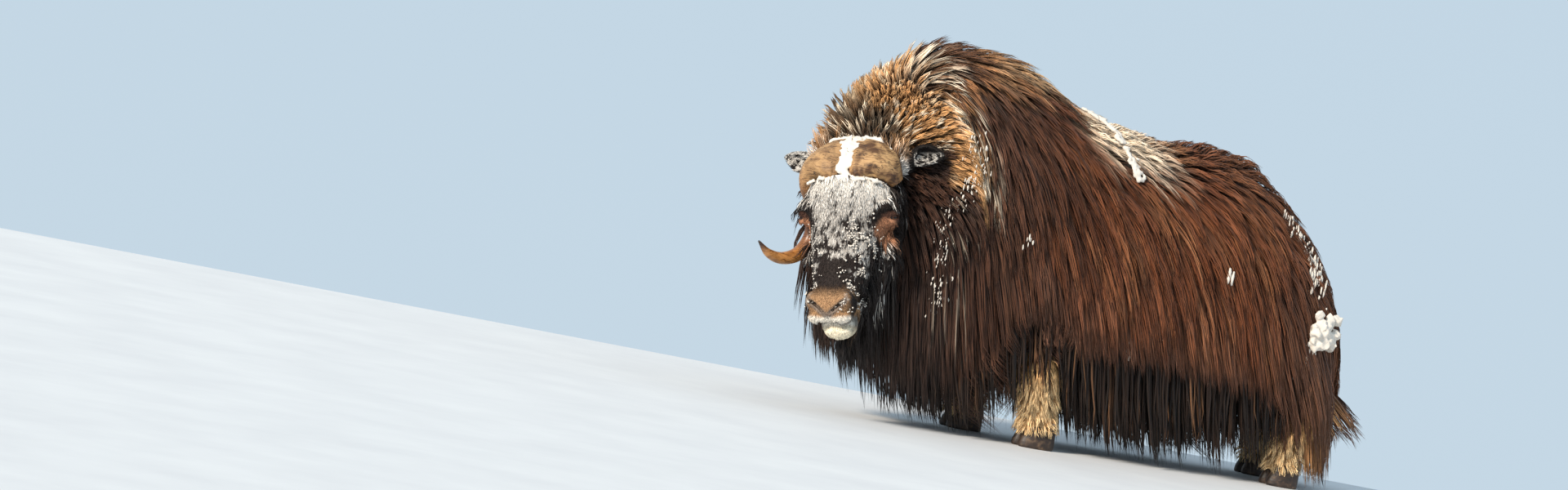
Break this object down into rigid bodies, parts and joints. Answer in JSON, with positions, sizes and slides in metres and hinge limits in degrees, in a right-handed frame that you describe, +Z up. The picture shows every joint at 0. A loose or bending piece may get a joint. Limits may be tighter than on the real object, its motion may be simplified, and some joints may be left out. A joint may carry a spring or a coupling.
{
  "type": "muskox",
  "caption": "Shaggy muskox bull standing on the floor with its head turned to its left, broad horn bosses and a coat that hangs almost to the floor.",
  "frame": {"origin": "on the floor, under the middle of the whole footprint", "axes": "+Z up, -X ahead from rump to shoulders, -Y to the animal's left; the head is turned towards -X and -Y"},
  "size_m": [2.3689, 0.7523, 1.2671],
  "materials": {
    "coat_brown": "long shaggy hair, dark reddish brown, matt",
    "mane_brown": "long hair of the mane and throat, brown with golden tips, matt",
    "face_dark": "short dense hair, dark brown, matt",
    "stocking_cream": "short hair of the lower legs, cream, matt",
    "horn_keratin": "horn keratin, tan to amber with growth lines, half matt",
    "hoof_dark": "hoof keratin, dark, half matt",
    "eye_dark": "wet eye, dark brown, glossy"
  },
  "bodies": {
    "root": {"head": "face_dark", "neck": "mane_brown", "torso": "coat_brown", "tail": "coat_brown", "foreleg_left": "stocking_cream", "foreleg_right": "stocking_cream", "hindleg_left": "stocking_cream", "hindleg_right": "stocking_cream", "hoof_foreleg_left": "hoof_dark", "hoof_foreleg_right": "hoof_dark", "hoof_hindleg_left": "hoof_dark", "hoof_hindleg_right": "hoof_dark", "ear_left": "face_dark", "ear_right": "face_dark", "eye_left": "eye_dark", "eye_right": "eye_dark", "horn_left": "horn_keratin", "horn_right": "horn_keratin"}
  },
  "joints": []
}
